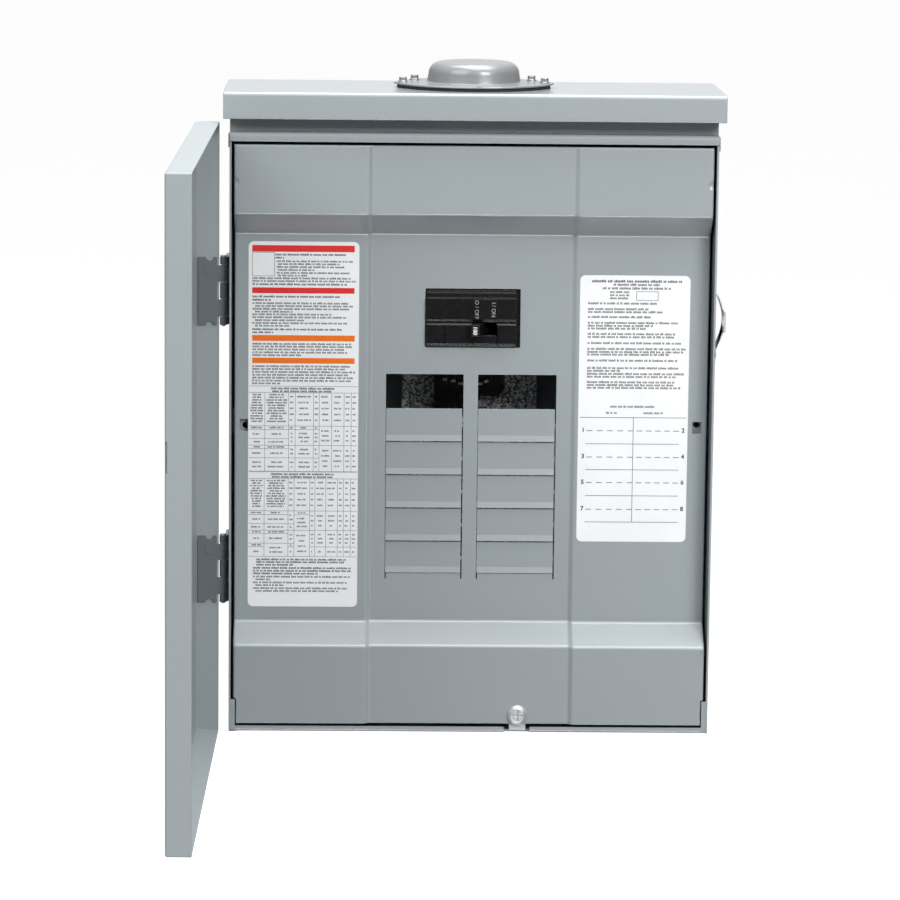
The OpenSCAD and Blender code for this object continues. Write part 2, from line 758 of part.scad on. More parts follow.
module breaker_cover() {
    w = breaker_wall;
    face = -85;
    x0 = -34.2;
    x1 = 33.2;
    color(black) difference() {
        union() {
            block([breaker_x[0], breaker_front, breaker_z[0]], [breaker_x[1], breaker_split, breaker_z[1]]);
            // stepped face that stands in the cover's opening
            along_x(x0, x1) polygon([[breaker_front, 92.8], [breaker_front - 2.4, 92.8],
                                     [breaker_front - 2.4, 91], [face + 1.4, 90.6], [face + 1.4, 87],
                                     [face, 86.4], [face, 70.4], [face + 1, 69.9], [face + 1, 67.4],
                                     [face, 66.6], [face, 52.2], [face + 1.6, 51.6], [face + 1.6, 50],
                                     [breaker_front, 50]]);
            // raised column beside the words for on and off
            block([1.2, face - 1, 70.4], [18, face, 86.4]);
        }
        block([breaker_x[0] + w, breaker_front + w, breaker_z[0] + w], [breaker_x[1] - w, breaker_split + 1, breaker_z[1] - w]);
        block([slot_x[0], face - 3, handle_z[0] - 0.5], [slot_x[1], breaker_front + 4, handle_z[1] + 0.5]);
        for (x = [-20.5, 19])
            block([x - 0.4, face - 1, 52.2], [x + 0.4, face + 0.5, 66.6]);
        // screwdriver holes over the line lugs
        for (z = poles) peg([breaker_x[0] + 6, breaker_split + 1, z], 3.4, 25);
        // seats for the handle's pin
        translate([handle_at[0], handle_at[1], 40]) cylinder(r = pin_r, h = 70);
    }
}

module breaker_handle() {
    grip = 30;
    half = 3.8;
    hub = 7;
    color(black) translate([handle_at[0], handle_at[1], 0]) rotate(-handle_throw / 2) difference() {
        union() {
            along_z(handle_z[0], handle_z[1]) polygon([[-half, 0], [half, 0], [half, -grip + 2],
                                                       [half - 1, -grip], [-half + 1, -grip], [-half, -grip + 2]]);
            along_z(handle_z[0] - 1, handle_z[1] + 1) circle(r = hub);
        }
        translate([0, 0, 40]) cylinder(r = pin_r + running, h = 70);
    }
}

module handle_pin() color(zinc)
    translate([handle_at[0], handle_at[1], breaker_z[0] + 0.5]) cylinder(r = pin_r, h = breaker_z[1] - breaker_z[0] - 1);

// Turn what is drawn with the contacts closed to the open place
module at_arms() translate([arm_at[0], arm_at[1], 0]) rotate(arm_throw) children();

module contact_arms() color(copper) at_arms() for (z = poles) {
    block([-arm_reach, -2, z - 3], [-4, 2, z + 3]);
    translate([-arm_reach + 4, 2, z]) rotate([-90, 0, 0]) cylinder(r = 3.4, h = 2);
}

module contact_shaft() color([0.45, 0.32, 0.22]) at_arms() translate([0, 0, breaker_z[0] + 3.2]) difference() {
    cylinder(r = 4, h = breaker_z[1] - breaker_z[0] - 6.4);
    translate([0, 0, -1]) cylinder(r = pin_r + running, h = 60);
}

module contact_pin() color(zinc)
    translate([arm_at[0], arm_at[1], breaker_z[0] + 0.5]) cylinder(r = pin_r, h = breaker_z[1] - breaker_z[0] - 1);

// Bars from the line lugs to the fixed contacts
module fixed_contacts() color(copper) for (z = poles) {
    y = arm_at[1] + 6.2;
    block([breaker_x[0] + 10.5, y - 0.2, z - 3.5], [-6, y + 2.2, z + 3.5]);
    peg([arm_at[0] - arm_reach + 4, y - 0.2, z], 3.4, 1.8);
}

// Stacks of thin plates around the tips of the arms
module arc_chutes() color([0.5, 0.5, 0.52]) for (z = poles, i = [0:5])
    block([breaker_x[0] + 16, -57 + i * 2.6, z - 8], [breaker_x[0] + 26, -56 + i * 2.6, z + 8]);

// The heat-bent strips of the overload trip
module bimetals() color([0.6, 0.5, 0.35]) for (z = poles) {
    block([24, -36.5, z - 3], [33, -35, z + 3]);
    block([24, -58, z - 3], [25.2, -36.5, z + 3]);
}

module load_terminals() color(tin) for (z = poles) {
    block([22, -35, z - 5], [42, -33, z + 5]);
    peg([36, bus_front, z], 3, bus_front + 33);
}

module line_lugs() color(tin) for (z = poles) difference() {
    block([breaker_x[0] + 0.5, -56, z - 8], [breaker_x[0] + 10.5, -37.2, z + 8]);
    translate([breaker_x[0] - 1, -45.5, z]) rotate([0, 90, 0]) cylinder(r = 5, h = 14);
    peg([breaker_x[0] + 6, -48, z], 3, 10);
}

module lug_screws() color(zinc) for (z = poles) difference() {
    peg([breaker_x[0] + 6, -50, z], 2.95, 8);
    block([breaker_x[0] + 3.6, -59, z - 0.5], [breaker_x[0] + 8.4, -56.4, z + 0.5]);
}

back_shell();
top_wall();
rain_rail();
roof_cap();
bottom_wall();
hub_gasket();
hub_plate();
hub_screws();
inner_cover();
twistout_plates();
cover_brackets();
cover_screw_bracket();
cover_screw();
info_label();
directory_label();
box_hinge_upper();
box_hinge_lower();
hinge_pin_upper();
hinge_pin_lower();
door_panel();
door_hinge_upper();
door_hinge_lower();
door_hinge_rivets();
door_latch();
latch_rivets();
pan_standoffs();
interior_pan();
pan_screws();
bus_base();
bus_cover();
bus_bar_left();
bus_bar_right();
neutral_insulator();
neutral_bar();
neutral_screws();
neutral_lug();
ground_bar();
ground_screws();
bonding_strap();
breaker_base();
breaker_cover();
breaker_handle();
handle_pin();
contact_arms();
contact_shaft();
contact_pin();
fixed_contacts();
arc_chutes();
bimetals();
load_terminals();
line_lugs();
lug_screws();
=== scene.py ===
"""Looks of the outdoor load center: finished pieces, procedural materials, studio and camera."""

import json
import math
import random

import bmesh
import bpy
from mathutils import Matrix, Vector


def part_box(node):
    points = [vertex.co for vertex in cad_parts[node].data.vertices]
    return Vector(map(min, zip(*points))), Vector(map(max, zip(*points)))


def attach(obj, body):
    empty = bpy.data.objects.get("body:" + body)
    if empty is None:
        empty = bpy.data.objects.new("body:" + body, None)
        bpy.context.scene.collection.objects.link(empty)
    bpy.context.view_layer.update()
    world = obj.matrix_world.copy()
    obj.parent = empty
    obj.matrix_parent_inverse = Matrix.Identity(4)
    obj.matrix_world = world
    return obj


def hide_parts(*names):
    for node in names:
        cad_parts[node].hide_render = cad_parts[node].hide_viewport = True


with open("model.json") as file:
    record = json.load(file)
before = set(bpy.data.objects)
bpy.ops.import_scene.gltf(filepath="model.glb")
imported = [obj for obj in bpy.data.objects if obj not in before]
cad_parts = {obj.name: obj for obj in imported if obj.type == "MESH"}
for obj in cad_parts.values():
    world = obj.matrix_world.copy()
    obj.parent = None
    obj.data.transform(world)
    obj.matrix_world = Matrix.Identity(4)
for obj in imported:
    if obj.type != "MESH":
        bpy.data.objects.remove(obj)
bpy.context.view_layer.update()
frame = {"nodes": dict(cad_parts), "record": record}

MM = 0.001
SHEET = 1.2  # thickness of the formed steel, in mm
scene = bpy.context.scene
collection = scene.collection
NODE_BODY = {n: body for body, names in frame["record"]["behaviour"]["bodies"].items() for n in names}


# ---------- materials ----------

class Paint:
    """A node material under construction. Lengths are in metres, in the frame's own coordinates."""

    def __init__(self, name, color, rough, metal=0.0, **extra):
        self.material = bpy.data.materials.new(name)
        self.material.use_nodes = True
        self.tree = self.material.node_tree
        self.bsdf = self.tree.nodes["Principled BSDF"]
        self.place = self.tree.nodes.new("ShaderNodeTexCoord").outputs["Object"]
        self.bsdf.inputs["Base Color"].default_value = (*color, 1)
        self.bsdf.inputs["Roughness"].default_value = rough
        self.bsdf.inputs["Metallic"].default_value = metal
        for key, value in extra.items():
            self.bsdf.inputs[key.replace("_", " ")].default_value = value
        self.normal = None

    def link(self, source, target):
        self.tree.links.new(source, target)

    def node(self, kind, **values):
        n = self.tree.nodes.new(kind)
        for key, value in values.items():
            if key in n.inputs:
                n.inputs[key].default_value = value
            else:
                setattr(n, key, value)
        return n

    def stretched(self, x, y, z):
        """Coordinates scaled by the given factors, for grain that runs one way."""
        n = self.node("ShaderNodeMapping")
        n.inputs["Scale"].default_value = (x, y, z)
        self.link(self.place, n.inputs["Vector"])
        return n.outputs["Vector"]

    def noise(self, size, detail=3.0, rough=0.5, place=None):
        """Cloudy noise whose blotches are about this many metres across."""
        n = self.node("ShaderNodeTexNoise", Scale=1.0 / size, Detail=detail, Roughness=rough)
        self.link(place or self.place, n.inputs["Vector"])
        return n.outputs["Fac"]

    def cells(self, size):
        """Angular cells about this many metres across."""
        n = self.node("ShaderNodeTexVoronoi", Scale=1.0 / size)
        self.link(self.place, n.inputs["Vector"])
        return n

    def speckle(self, noise, dark, light):
        """Two colours, blended by a noise between its darker and lighter thirds."""
        return self.ramp(noise, (0.3, dark), (0.7, light))

    def ramp(self, fac, *stops):
        """A colour ramp through (position, colour or grey) stops."""
        n = self.node("ShaderNodeValToRGB")
        while len(n.color_ramp.elements) < len(stops):
            n.color_ramp.elements.new(0.5)
        for element, (position, value) in zip(n.color_ramp.elements, stops):
            element.position = position
            element.color = (*value, 1) if isinstance(value, tuple) else (value, value, value, 1)
        self.link(fac, n.inputs["Fac"])
        return n.outputs["Color"]

    def mix(self, fac, a, b, blend="MIX"):
        n = self.node("ShaderNodeMix", data_type="RGBA", blend_type=blend)
        for socket, value in ((n.inputs[0], fac), (n.inputs[6], a), (n.inputs[7], b)):
            if isinstance(value, (int, float)):
                socket.default_value = value
            elif isinstance(value, tuple):
                socket.default_value = (*value, 1)
            else:
                self.link(value, socket)
        return n.outputs[2]

    def color(self, source):
        self.link(source, self.bsdf.inputs["Base Color"])
        return self

    def rough(self, fac, low, high):
        n = self.node("ShaderNodeMapRange")
        n.inputs["To Min"].default_value = low
        n.inputs["To Max"].default_value = high
        self.link(fac, n.inputs["Value"])
        self.link(n.outputs["Result"], self.bsdf.inputs["Roughness"])
        return self

    def bump(self, height, strength, depth):
        """Adds relief of about this depth in metres."""
        n = self.node("ShaderNodeBump", Strength=strength, Distance=depth)
        self.link(height, n.inputs["Height"])
        if self.normal:
            self.link(self.normal, n.inputs["Normal"])
        self.normal = n.outputs["Normal"]
        self.link(self.normal, self.bsdf.inputs["Normal"])
        return self


def scaled(color, factor):
    """A colour made lighter or darker."""
    return tuple(min(1, c * factor) for c in color)


def powder_coat(name, color, coat=0.7, shine=0.5):
    """Baked grey enamel: fine orange peel, slight cloudiness, and a gloss that is a little uneven."""
    p = Paint(name, color, 0.26, Specular_IOR_Level=shine, Coat_Weight=coat, Coat_Roughness=0.09)
    cloud = p.ramp(p.noise(0.12, 2), (0.0, scaled(color, 0.98)), (1.0, scaled(color, 1.02)))
    fleck = p.ramp(p.noise(0.0016, 2), (0.2, 0.985), (0.8, 1.0))
    p.color(p.mix(1.0, cloud, fleck, "MULTIPLY"))
    p.rough(p.noise(0.02, 2), 0.27, 0.30)
    p.bump(p.noise(0.003, 2, 0.4), 0.04, 0.0001)
    return p.material


PAINTED_LIGHT_Z = (0.017, 0.024)  # heights in metres where the painted warm light on the pan's upper part starts and is complete


def galvanised():
    """Zinc-coated sheet with spangle: angular crystals that each catch the light differently."""
    p = Paint("galvanised_sheet", (0.6, 0.62, 0.64), 0.34, 0.2)
    cell = p.cells(0.0015)
    tint = p.ramp(cell.outputs["Color"], (0.3, (0.13, 0.16, 0.21)), (0.55, (0.60, 0.63, 0.67)),
                  (0.75, (1.0, 0.99, 0.96)))
    streak = p.ramp(p.noise(0.004, 5, 0.7), (0.3, 0.72), (0.75, 1.0))
    # painted warm light: a brighter, warmer band that stands in for light falling on the upper half of what
    # the open breaker places show
    height = p.node("ShaderNodeSeparateXYZ")
    p.link(p.place, height.inputs[0])
    painted_warm_light = p.node("ShaderNodeMapRange")
    painted_warm_light.inputs["From Min"].default_value, painted_warm_light.inputs["From Max"].default_value = PAINTED_LIGHT_Z
    p.link(height.outputs["Z"], painted_warm_light.inputs["Value"])
    spangle = p.mix(1.0, tint, streak, "MULTIPLY")
    p.color(p.mix(painted_warm_light.outputs["Result"], spangle, (1.0, 0.84, 0.72)))
    p.rough(cell.outputs["Color"], 0.22, 0.5)
    p.bump(cell.outputs["Distance"], 0.15, 0.0002)
    p.bump(p.noise(0.0012, 3), 0.12, 0.0001)
    return p.material


def plated(name, color, rough, grain=(1, 1, 1), metal=1.0):
    """Plated or bare metal: directional grain, faint staining and small handling marks."""
    p = Paint(name, color, rough, metal)
    stain = p.ramp(p.noise(0.011, 4), (0.25, scaled(color, 0.82)), (0.7, color))
    p.color(p.mix(0.5, stain, p.speckle(p.noise(0.003, 3), scaled(color, 0.9), color)))
    p.rough(p.noise(0.006, 4), rough * 0.75, rough * 1.35)
    p.bump(p.noise(0.0009, 3, 0.6, p.stretched(*grain)), 0.12, 0.00008)
    return p.material


def moulded(name, color, rough):
    """Moulded plastic: fine spark-eroded texture and slightly uneven sheen."""
    p = Paint(name, color, rough, Specular_IOR_Level=0.5)
    p.color(p.speckle(p.noise(0.012, 3), scaled(color, 0.85), scaled(color, 1.15)))
    p.rough(p.noise(0.004, 3), rough * 0.8, rough * 1.25)
    p.bump(p.noise(0.0007, 2), 0.04, 0.00005)
    return p.material


def label_film():
    """Printed polyester film: off-white, satin, with the faintest waviness."""
    p = Paint("label_film", (0.93, 0.935, 0.94), 0.38)
    p.color(p.speckle(p.noise(0.03, 3), (0.84, 0.85, 0.86), (0.88, 0.89, 0.90)))
    p.rough(p.noise(0.008, 3), 0.32, 0.45)
    p.bump(p.noise(0.018, 2), 0.10, 0.0003)
    return p.material


def ink(name, color, rough=0.5):
    """Printing ink with slightly uneven coverage."""
    p = Paint(name, color, rough)
    p.color(p.speckle(p.noise(0.0011, 3), scaled(color, 0.88), scaled(color, 1.06)))
    p.rough(p.noise(0.002, 2), rough * 0.85, rough * 1.15)
    return p.material


def cast_metal():
    """Painted zinc casting: pebbled skin, soft gloss and a tone that is blotchy at random."""
    p = Paint("cast_plate_paint", (0.22, 0.23, 0.24), 0.30, 0.1, Coat_Weight=0.5, Coat_Roughness=0.12)
    p.color(p.speckle(p.noise(0.02, 4), (0.20, 0.208, 0.215), (0.235, 0.243, 0.25)))
    p.rough(p.noise(0.006, 3), 0.28, 0.44)
    p.bump(p.noise(0.0011, 3), 0.2, 0.0001)
    p.bump(p.noise(0.012, 2), 0.1, 0.0005)
    return p.material


def rubber():
    """Black sheet rubber: matt, with a fine grain."""
    p = Paint("gasket_rubber", (0.035, 0.035, 0.036), 0.75)
    p.color(p.speckle(p.noise(0.003, 3), 0.025, 0.05))
    p.bump(p.noise(0.0008, 3), 0.3, 0.0001)
    return p.material


GREY = (0.335, 0.372, 0.388)
MATERIALS = {
    "enamel": powder_coat("grey_enamel", GREY),
    "door_enamel": powder_coat("grey_door_enamel", GREY, coat=0.05, shine=0.15),
    "cast_plate": cast_metal(),
    "gasket": rubber(),
    "zinc": plated("zinc_plate", (0.80, 0.81, 0.82), 0.34, metal=0.6),
    "galvanised": galvanised(),
    "label": label_film(),
    "black_plastic": moulded("black_phenolic", (0.008, 0.008, 0.009), 0.26),
    "cream_plastic": moulded("cream_moulding", (0.72, 0.70, 0.62), 0.45),
    "brown_plastic": moulded("brown_moulding", (0.16, 0.085, 0.045), 0.45),
    "tin": plated("tin_plate", (0.90, 0.89, 0.86), 0.26, (1, 6, 1), metal=0.35),
    "copper": plated("bare_copper", (0.80, 0.42, 0.26), 0.3, (6, 1, 1)),
    "green_screw": plated("green_dyed_zinc", (0.10, 0.34, 0.16), 0.35),
    "arc_steel": plated("arc_plate_steel", (0.42, 0.41, 0.40), 0.42),
    "bimetal": plated("bimetal_strip", (0.62, 0.52, 0.36), 0.35, (1, 1, 6)),
}
DARK_ZINC = plated("dark_zinc", (0.52, 0.53, 0.55), 0.32, metal=0.9)
# the grey enamel made much darker for the hinges and their rivets: painted shade for the shadow the hinges
# sit in
SHADED_HINGE_ENAMEL = powder_coat("grey_hinge_enamel_painted_shade", (0.15, 0.17, 0.18), coat=0.2, shine=0.3)
INK_BLACK = ink("ink_black", (0.035, 0.035, 0.037))
INK_RED = ink("ink_red", (0.78, 0.030, 0.030), 0.4)
INK_ORANGE = ink("ink_orange", (0.90, 0.185, 0.012), 0.4)
INK_GREY = ink("ink_grey", (0.36, 0.36, 0.36))
INK_WHITE = ink("ink_white", (0.86, 0.86, 0.85))


# ---------- making pieces ----------

def new_object(name, bm, smooth=True):
    """An object in the scene made from a bmesh, which is used up."""
    mesh = bpy.data.meshes.new(name)
    bm.normal_update()
    bm.to_mesh(mesh)
    bm.free()
    for polygon in mesh.polygons:
        polygon.use_smooth = smooth
    ob = bpy.data.objects.new(name, mesh)
    collection.objects.link(ob)
    return ob


def finish_edges(ob, width, segments=2, angle=32):
    """Rounds the sharp edges and keeps broad faces flat to the eye."""
    if width:
        m = ob.modifiers.new("edges", "BEVEL")
        m.width = width * MM
        m.segments = segments
        m.limit_method = "ANGLE"
        m.angle_limit = math.radians(angle)
        m.use_clamp_overlap = False
        m.miter_outer = "MITER_ARC"
    m = ob.modifiers.new("normals", "WEIGHTED_NORMAL")
    m.keep_sharp = True
    m.weight = 80
    return ob


def thicken(ob):
    """Gives a formed skin the thickness of the steel, behind its face."""
    m = ob.modifiers.new("sheet", "SOLIDIFY")
    m.thickness = SHEET * MM
    m.offset = -1
    m.use_even_offset = True


def settle(ob, body, slot, *nodes, paint=None):
    """Gives a piece its finish, hides the CAD nodes it stands in for, and puts it in its body."""
    ob.data.materials.clear()
    ob.data.materials.append(paint or MATERIALS[slot])
    if nodes:
        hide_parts(*nodes)
    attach(ob, body)
    return ob


def cad_copy(node):
    """The CAD node's own faces, welded, with flat regions merged into single faces."""
    bm = bmesh.new()
    bm.from_mesh(frame["nodes"][node].data)
    bmesh.ops.remove_doubles(bm, verts=bm.verts, dist=3e-6)
    bmesh.ops.dissolve_limit(bm, angle_limit=math.radians(1.5), verts=bm.verts, edges=bm.edges)
    return bm


def round_edges(bm, chosen, width, segments=4):
    """Bevels the edges whose two end points both pass the test, in millimetres."""
    edges = []
    for e in bm.edges:
        a, b = (v.co / MM for v in e.verts)
        if len(e.link_faces) == 2 and e.calc_face_angle(0) > 0.5 and chosen(a) and chosen(b):
            edges.append(e)
    if edges:
        bmesh.ops.bevel(bm, geom=edges, offset=width * MM, offset_type="OFFSET", segments=segments,
                        profile=0.5, affect="EDGES", clamp_overlap=False)


def refine(node, slot, width=0.3, segments=2, angle=32, rounds=(), crisp=None, paint=None):
    """A finished piece made from a CAD node. Folds sharper than crisp, in degrees, stay crisp."""
    bm = cad_copy(node)
    if crisp:
        for e in bm.edges:
            e.smooth = len(e.link_faces) != 2 or e.calc_face_angle(0) < math.radians(crisp)
    for chosen, radius, steps in rounds:
        round_edges(bm, chosen, radius, steps)
    ob = new_object(node + "_finished", bm)
    finish_edges(ob, width, segments, angle)
    return settle(ob, NODE_BODY[node], slot, node, paint=paint)


def add_box(bm, low, high):
    """A closed box between two corners in millimetres."""
    corners = [bm.verts.new((x * MM, y * MM, z * MM)) for x in (low[0], high[0])
               for y in (low[1], high[1]) for z in (low[2], high[2])]
    for face in ((0, 1, 3, 2), (4, 6, 7, 5), (0, 4, 5, 1), (2, 3, 7, 6), (0, 2, 6, 4), (1, 5, 7, 3)):
        bm.faces.new([corners[i] for i in face])


# ---------- inner cover ----------

# All in millimetres in the part's own frame
COVER_HALF = 177.5
COVER_Z = (-235.2, 202.4)
RAISED_Y = -101.7  # front face of the raised ends, in the channel
SUNK_Y = -81.7
SLOPES = ((-175.9, RAISED_Y), (-159.8, SUNK_Y), (134.4, SUNK_Y), (151.0, RAISED_Y))
CHANNEL = ((-78.2, -2.6), (-75.2, 0.0), (75.2, 0.0), (78.2, -2.6))
ROW_TOP = 28.6
PITCH = 25.4
COLUMNS = ((-63.9, -5.8), (5.2, 64.0))
BREAKER_GAP = (-34.9, 36.2, 49.1, 93.5)  # left, right, low and high edges
WINDOW = (170.0, -10.4, 3.25, 4.6)  # X, Z, half width and half height
NOTCH = (175.5, -216.0)  # the cover is cut away outside this X and below this Z
FOLD_R = 1.6
FOLD_ANGLES = [math.radians(15 * k) for k in range(1, 7)]
SLIT = 0.8  # width of the cuts that run on below the columns, down to SLIT_LOW
SLIT_LOW = -127.8
ROWS = 6
GRID_STEP = 9
CREASE_SPAN = 1.3  # how far the fine rows round a crease reach
DENT = (176.7, 175.0, 3.3, 1.2)  # X, Z, radius and depth


def on_line(points, x):
    """The height at x of a line through points, level beyond its ends."""
    if x <= points[0][0]:
        return points[0][1]
    for (x0, y0), (x1, y1) in zip(points, points[1:]):
        if x <= x1:
            return y0 + (y1 - y0) * (x - x0) / (x1 - x0)
    return points[-1][1]


def softened(points, x, r):
    """The same line with its corners rounded over r on each side."""
    n = 8
    return sum(on_line(points, x + r * (2 * i / n - 1)) for i in range(n + 1)) / (n + 1)


def grid_lines(low, high, step, marks, folds, spread):
    """Sorted positions from low to high: even steps, exact marks, and a fine fan round each fold."""
    exact = sorted({low, high, *marks})
    fine = [f + spread * k / 3 for f in folds for k in range(-3, 4)]
    lines = list(exact)
    for x in sorted(fine):
        if low < x < high and all(abs(x - e) > 0.25 for e in exact):
            lines.append(x)
    lines.sort()
    filled = []
    for a, b in zip(lines, lines[1:]):
        n = max(1, round((b - a) / step))
        filled += [a + (b - a) * i / n for i in range(n)]
    return filled + [lines[-1]]


def build_inner_cover():
    """The formed cover: one sheet of fine rows and columns, with its openings left out."""
    row_low = ROW_TOP - PITCH * ROWS + 0.4
    flat = COVER_HALF - FOLD_R
    window_x, window_z, window_w, window_h = WINDOW
    notch_x, notch_z = NOTCH
    marks_x = [c + d for pair in COLUMNS for c, d in zip(pair, (SLIT, -SLIT))]
    marks_x += [c for pair in COLUMNS for c in pair] + list(BREAKER_GAP[:2])
    marks_x += [s * (window_x + d) for s in (-1, 1) for d in (-window_w, window_w)] + [-notch_x, notch_x]
    marks_z = [SLIT_LOW, row_low, ROW_TOP, *BREAKER_GAP[2:], notch_z]
    marks_z += [window_z - window_h, window_z + window_h]
    fans = [p[0] for p in CHANNEL] + [-174.4, 174.4]
    xs = [(x, 0.0) for x in grid_lines(-flat, flat, GRID_STEP, marks_x, fans, 1.2)]
    arc = [(flat + FOLD_R * math.sin(a), FOLD_R * (1 - math.cos(a))) for a in FOLD_ANGLES]
    arc += [(COVER_HALF, d) for d in (3.2, 5.0, 7.5)]
    section = [(-x, d) for x, d in reversed(arc)] + xs + arc
    creases = [p[0] for p in SLOPES]
    level = grid_lines(COVER_Z[0], COVER_Z[1] - FOLD_R, GRID_STEP, marks_z, creases, CREASE_SPAN)
    level += [DENT[1] + DENT[2] * k / 5 for k in range(-6, 7)]
    level.sort()
    # rows that nearly coincide are thinned out
    zs = [(z, 0.0) for z, above in zip(level, level[1:] + [math.inf]) if above - z > 0.4 or z in marks_z]
    # the top edge is folded back like the side edges
    zs += [(COVER_Z[1] - FOLD_R * (1 - math.sin(a)), FOLD_R * (1 - math.cos(a))) for a in FOLD_ANGLES]
    zs += [(COVER_Z[1], d) for d in (2.8, 4.0)]
    bm = bmesh.new()
    table = []
    for z, back in zs:
        base = softened(SLOPES, z, 1.0)
        row = []
        for x, depth in section:
            y = base + softened(CHANNEL, x, 0.7) + depth + back
            # small dents near the upper corners, where a punch has set the folded edge
            far = ((abs(x) - DENT[0]) ** 2 + (z - DENT[1]) ** 2) / DENT[2] ** 2
            dent = DENT[3] * max(0.0, 1 - far)
            row.append(bm.verts.new((x * MM, (y + dent) * MM, z * MM)))
        table.append(row)

    def missing(x, z):
        """True inside an opening, slit, window or notch."""
        if BREAKER_GAP[0] < x < BREAKER_GAP[1] and BREAKER_GAP[2] < z < BREAKER_GAP[3]:
            return True
        if row_low < z < ROW_TOP and any(a < x < b for a, b in COLUMNS):
            return True
        if SLIT_LOW < z < row_low and any(a < x < a + SLIT or b - SLIT < x < b for a, b in COLUMNS):
            return True
        if abs(abs(x) - window_x) < window_w and abs(z - window_z) < window_h:
            return True
        return abs(x) > notch_x and z < notch_z

    for j in range(len(zs) - 1):
        for i in range(len(section) - 1):
            x = (section[i][0] + section[i + 1][0]) / 2
            if not missing(x, (zs[j][0] + zs[j + 1][0]) / 2):
                bm.faces.new((table[j][i], table[j][i + 1], table[j + 1][i + 1], table[j + 1][i]))
    bmesh.ops.delete(bm, geom=[v for v in bm.verts if not v.link_faces], context="VERTS")
    ob = new_object("inner_cover_formed", bm)
    thicken(ob)
    finish_edges(ob, 0.4, 3, 50)
    return settle(ob, "enclosure", "enamel", "inner_cover")


# ---------- labels ----------

PRINT_SKIN = 0.06  # how far a film's front lies behind the CAD label's, in mm
LETTER_GAP = 0.24
WORD_GAP = 0.75


class Sticker:
    """A label: its film, and print of several inks. u runs from the left edge, v down from the top, in mm."""

    def __init__(self, node, body="enclosure"):
        low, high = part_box(node)
        self.node, self.body = node, body
        self.x0, self.z1 = low.x / MM, high.z / MM
        self.w, self.h = (high.x - low.x) / MM, (high.z - low.z) / MM
        self.front, self.back = low.y / MM, high.y / MM
        self.inks = {}
        self.film(4.0)

    def film(self, r):
        """The film itself, with corners of radius r."""
        bm = bmesh.new()
        outline = []
        right, low = self.w - r, r - self.h
        for cx, cz, start in ((right, -r, 0), (r, -r, 90), (r, low, 180), (right, low, 270)):
            for k in range(9):
                a = math.radians(start + 90 * k / 8)
                outline.append((self.x0 + cx + r * math.cos(a), self.z1 + cz + r * math.sin(a)))
        skin = self.front + PRINT_SKIN
        front = bm.faces.new([bm.verts.new((x * MM, skin * MM, z * MM)) for x, z in outline])
        out = bmesh.ops.extrude_face_region(bm, geom=[front])
        for v in out["geom"]:
            if isinstance(v, bmesh.types.BMVert):
                v.co.y = self.back * MM
        bmesh.ops.recalc_face_normals(bm, faces=bm.faces)
        ob = new_object(self.node + "_film", bm, smooth=False)
        m = ob.modifiers.new("edges", "BEVEL")
        m.width = 0.05 * MM
        m.segments = 2
        m.angle_limit = math.radians(60)
        settle(ob, self.body, "label", self.node)

    def bar(self, u0, u1, v0, v1, color):
        """A printed rectangle; every other mark is made of these."""
        if color not in self.inks:
            self.inks[color] = bmesh.new()
        bm = self.inks[color]
        skin = self.front + PRINT_SKIN
        add_box(bm, (self.x0 + u0, skin - 0.03, self.z1 - v1), (self.x0 + u1, skin + 0.01, self.z1 - v0))

    def across(self, u0, u1, v, thick=0.25, color="black"):
        self.bar(u0, u1, v - thick / 2, v + thick / 2, color)

    def down(self, u, v0, v1, thick=0.25, color="black"):
        self.bar(u - thick / 2, u + thick / 2, v0, v1, color)

    def frame(self, u0, u1, v0, v1, thick=0.3):
        self.across(u0, u1, v0, thick)
        self.across(u0, u1, v1, thick)
        self.down(u0, v0, v1, thick)
        self.down(u1, v0, v1, thick)

    def words(self, rng, u0, u1, v, size=1.0, heavy=False, color="black"):
        """A line of marks that reads as fine print from afar and as plain ticks from close by."""
        u = u0
        stroke = (0.66 if heavy else 0.50) * size
        while u < u1 - 1.2 * size:
            for _ in range(rng.choice((2, 3, 4, 5, 6, 7, 9))):
                if u > u1 - stroke:
                    break
                tall = rng.random() < 0.25
                top = v - (0.85 if tall else 0.58) * size
                low = v + 0.58 * size
                self.bar(u, u + stroke, top, low, color)
                u += stroke + LETTER_GAP * size
            u += WORD_GAP * size

    def centred(self, rng, u0, u1, v, share, size=1.0, heavy=False):
        """Words in the middle share of the stretch from u0 to u1."""
        half = (u1 - u0) * share / 2
        mid = (u0 + u1) / 2
        self.words(rng, mid - half, mid + half, v, size, heavy)

    def done(self, inks):
        """Turns the print of each ink into one piece."""
        for color, bm in self.inks.items():
            ob = new_object(f"{self.node}_print_{color}", bm, smooth=False)
            settle(ob, self.body, "label", paint=inks[color])


def facing(at, turn=0.0, swing=0.0):
    """Places upright print that faces -Y at a point in mm, turned in its own plane, then swung about Z."""
    return (Matrix.Translation(Vector(at) * MM) @ Matrix.Rotation(swing, 4, "Z")
            @ Matrix.Rotation(turn, 4, "Y") @ Matrix.Rotation(math.radians(90), 4, "X"))


